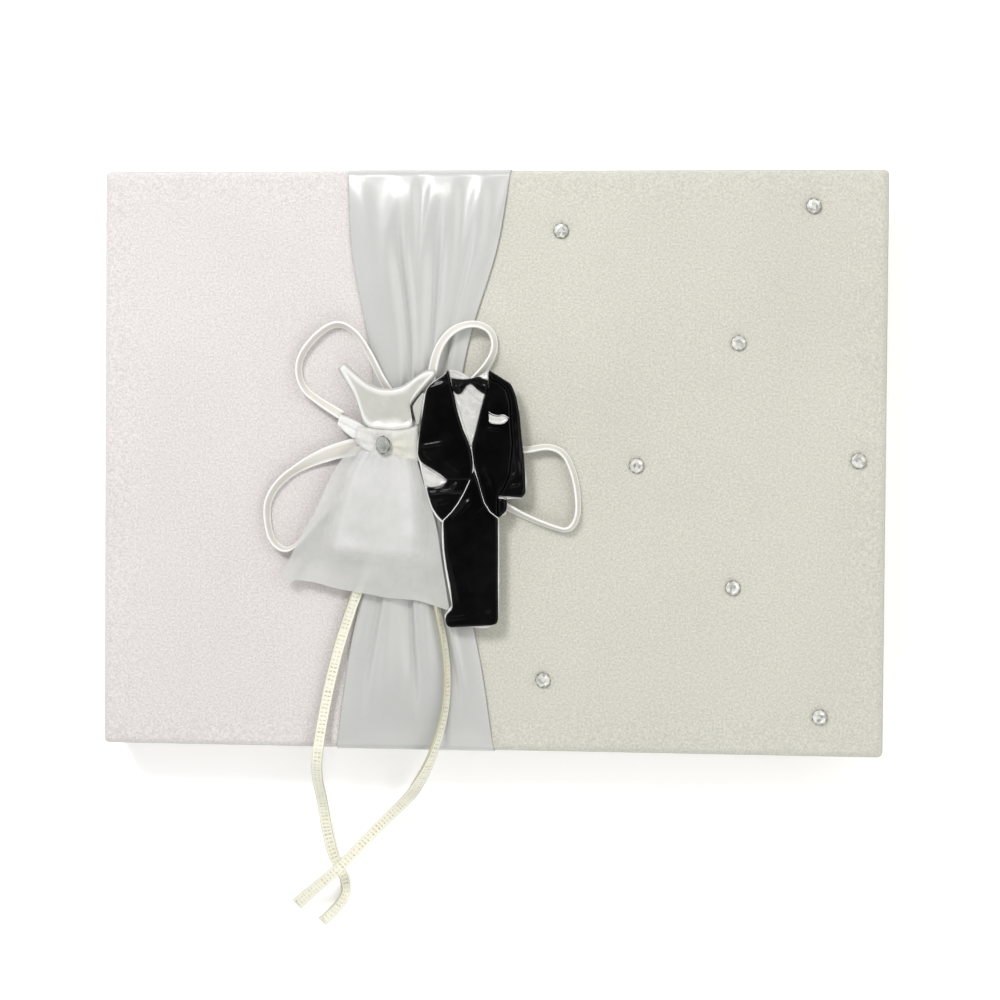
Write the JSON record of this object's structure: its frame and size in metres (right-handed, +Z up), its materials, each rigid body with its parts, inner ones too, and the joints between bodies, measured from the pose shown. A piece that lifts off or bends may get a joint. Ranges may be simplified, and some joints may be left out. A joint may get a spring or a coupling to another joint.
{
  "type": "wedding guest book",
  "caption": "Landscape case-bound guest book with a padded satin cover, gathered sash, ribbon bow with long tails, flat bride and groom ornaments and faceted stones.",
  "frame": {"origin": "centre of the closed book's footprint on the surface it lies on, measured without the ribbons", "axes": "+X from the spine to the fore-edge, +Y towards the head, +Z up out of the front cover"},
  "size_m": [0.245, 0.2422, 0.0317],
  "materials": {
    "satin": "ivory satin, fine weave",
    "board": "grey binder's board",
    "foam": "soft polyurethane foam",
    "paper": "smooth uncoated",
    "endpaper": "smooth laid",
    "mull": "open-weave cotton mull",
    "sash": "bright white satin",
    "ribbon": "narrow satin ribbon",
    "tail_ribbon": "ribbed cream ribbon",
    "stone": "faceted, foil-backed",
    "pearl": "pearl gloss",
    "white_resin": "satin white",
    "black_resin": "high-gloss black",
    "tulle": "crushed tulle",
    "organza": "translucent organza",
    "glue": "clear hot-melt glue"
  },
  "bodies": {
    "back_cover": {"back_board": "board", "back_cover_satin": "satin", "back_endpaper": "endpaper", "page_sections": "paper", "spine_mull": "mull"},
    "spine": {"spine_board": "board", "spine_satin": "satin"},
    "front_cover": {"front_board": "board", "front_foam_pad": "foam", "front_cover_satin": "satin", "front_endpaper": "endpaper", "satin_sash": "sash", "rhinestones": "stone", "bow_knot": "ribbon", "bow_tab": "ribbon", "bow_loop_upper_left": "ribbon", "bow_loop_lower_left": "ribbon", "bow_loop_upper_right": "ribbon", "bow_loop_right": "ribbon", "ribbon_tail_left": "tail_ribbon", "ribbon_tail_right": "tail_ribbon", "groom_base": "white_resin", "groom_jacket": "black_resin", "groom_trousers": "black_resin", "groom_bow_tie": "black_resin", "groom_pocket_square": "white_resin", "bride_bodice": "pearl", "bride_waist_wrap": "tulle", "bride_waist_stone": "stone", "skirt_long_layer": "organza", "skirt_short_layer": "organza", "glue_dots": "glue"},
    "third_leaf": {"third_leaf": "paper"},
    "second_leaf": {"second_leaf": "paper"},
    "flyleaf": {"flyleaf": "paper"}
  },
  "joints": [
    {"name": "spine_lean", "type": "hinge", "parent": "back_cover", "child": "spine", "pos_m": [-0.1223, 0, 0.00335], "axis": [0, -1, 0], "range_deg": [0, 25.5]},
    {"name": "cover_open", "type": "hinge", "parent": "spine", "child": "front_cover", "pos_m": [-0.1227, 0, 0.01565], "axis": [0, -1, 0], "range_deg": [0, 150]},
    {"name": "flyleaf_turn", "type": "hinge", "parent": "back_cover", "child": "flyleaf", "pos_m": [-0.1185, 0, 0.01537], "axis": [0, -1, 0], "range_deg": [0, 126.5]},
    {"name": "second_leaf_turn", "type": "hinge", "parent": "back_cover", "child": "second_leaf", "pos_m": [-0.118, 0, 0.01498], "axis": [0, -1, 0], "range_deg": [0, 81.5]},
    {"name": "third_leaf_turn", "type": "hinge", "parent": "back_cover", "child": "third_leaf", "pos_m": [-0.1175, 0, 0.01457], "axis": [0, -1, 0], "range_deg": [0, 36.5]}
  ],
  "couplings": [
    {"joint": "spine_lean", "follows": "cover_open", "ratio": 0.16667},
    {"joint": "flyleaf_turn", "follows": "cover_open", "ratio": 0.84},
    {"joint": "second_leaf_turn", "follows": "cover_open", "ratio": 0.54},
    {"joint": "third_leaf_turn", "follows": "cover_open", "ratio": 0.24}
  ]
}
